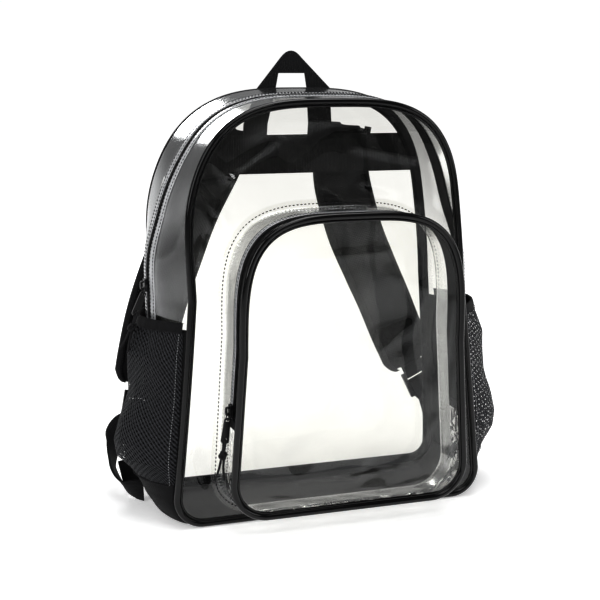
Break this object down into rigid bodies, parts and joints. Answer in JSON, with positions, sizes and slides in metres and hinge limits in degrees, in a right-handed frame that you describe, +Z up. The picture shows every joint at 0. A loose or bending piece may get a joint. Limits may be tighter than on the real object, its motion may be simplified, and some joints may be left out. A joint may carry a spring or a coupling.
{
  "type": "clear stadium backpack",
  "caption": "Clear film backpack with black piping, zipped main and front compartments, mesh side pockets, haul loop and padded shoulder straps.",
  "frame": {"origin": "middle of the bag's flat underside", "axes": "+X to the right of someone facing the front, -Y out of the front pocket, +Y towards the shoulder straps, +Z up"},
  "size_m": [0.4345, 0.2372, 0.482],
  "materials": {
    "clear_film": "clear, smooth and glossy",
    "piping_black": "glossy black",
    "fabric_black": "coated woven polyester, black",
    "mesh_black": "open knitted mesh, black",
    "webbing_black": "ribbed webbing, black",
    "zip_black": "zip tape and coil, black",
    "hard_black": "moulded plastic, black",
    "metal_black": "black lacquered zip metal",
    "cord_black": "round braided cord, black"
  },
  "bodies": {
    "root": {"front_piping": "piping_black", "back_binding": "fabric_black", "gusset_front_strip": "clear_film", "gusset_rear_strip": "clear_film", "main_zip": "zip_black", "side_panel_right": "fabric_black", "side_panel_left": "fabric_black", "base_panel": "fabric_black", "front_panel": "clear_film", "back_panel": "clear_film", "pocket_piping": "piping_black", "pocket_panel": "clear_film", "pocket_rear_strip": "clear_film", "pocket_zip": "zip_black", "pocket_zip_stop_right": "fabric_black", "pocket_zip_stop_left": "fabric_black", "pocket_lower_gusset": "clear_film", "side_pocket_bottom_left": "fabric_black", "side_pocket_mesh_left": "mesh_black", "side_pocket_band_left": "fabric_black", "side_pocket_bottom_right": "fabric_black", "side_pocket_mesh_right": "mesh_black", "side_pocket_band_right": "fabric_black", "yoke_band": "webbing_black", "haul_loop": "webbing_black", "shoulder_strap_right": "fabric_black", "strap_buckle_right": "hard_black", "buckle_loop_right": "webbing_black", "strap_webbing_right": "webbing_black", "anchor_tab_right": "fabric_black", "shoulder_strap_left": "fabric_black", "strap_buckle_left": "hard_black", "buckle_loop_left": "webbing_black", "strap_webbing_left": "webbing_black", "anchor_tab_left": "fabric_black", "main_slider": "metal_black", "main_pull_link": "metal_black", "main_pull_tab": "hard_black", "main_pull_cord": "cord_black", "main_pull_knot": "cord_black", "main_pull_tail_inner": "cord_black", "main_pull_tail_outer": "cord_black", "pocket_slider": "metal_black", "pocket_pull_link": "metal_black", "pocket_pull_tab": "hard_black", "pocket_pull_cord": "cord_black", "pocket_pull_knot": "cord_black", "pocket_pull_tail_inner": "cord_black", "pocket_pull_tail_outer": "cord_black"}
  },
  "joints": []
}
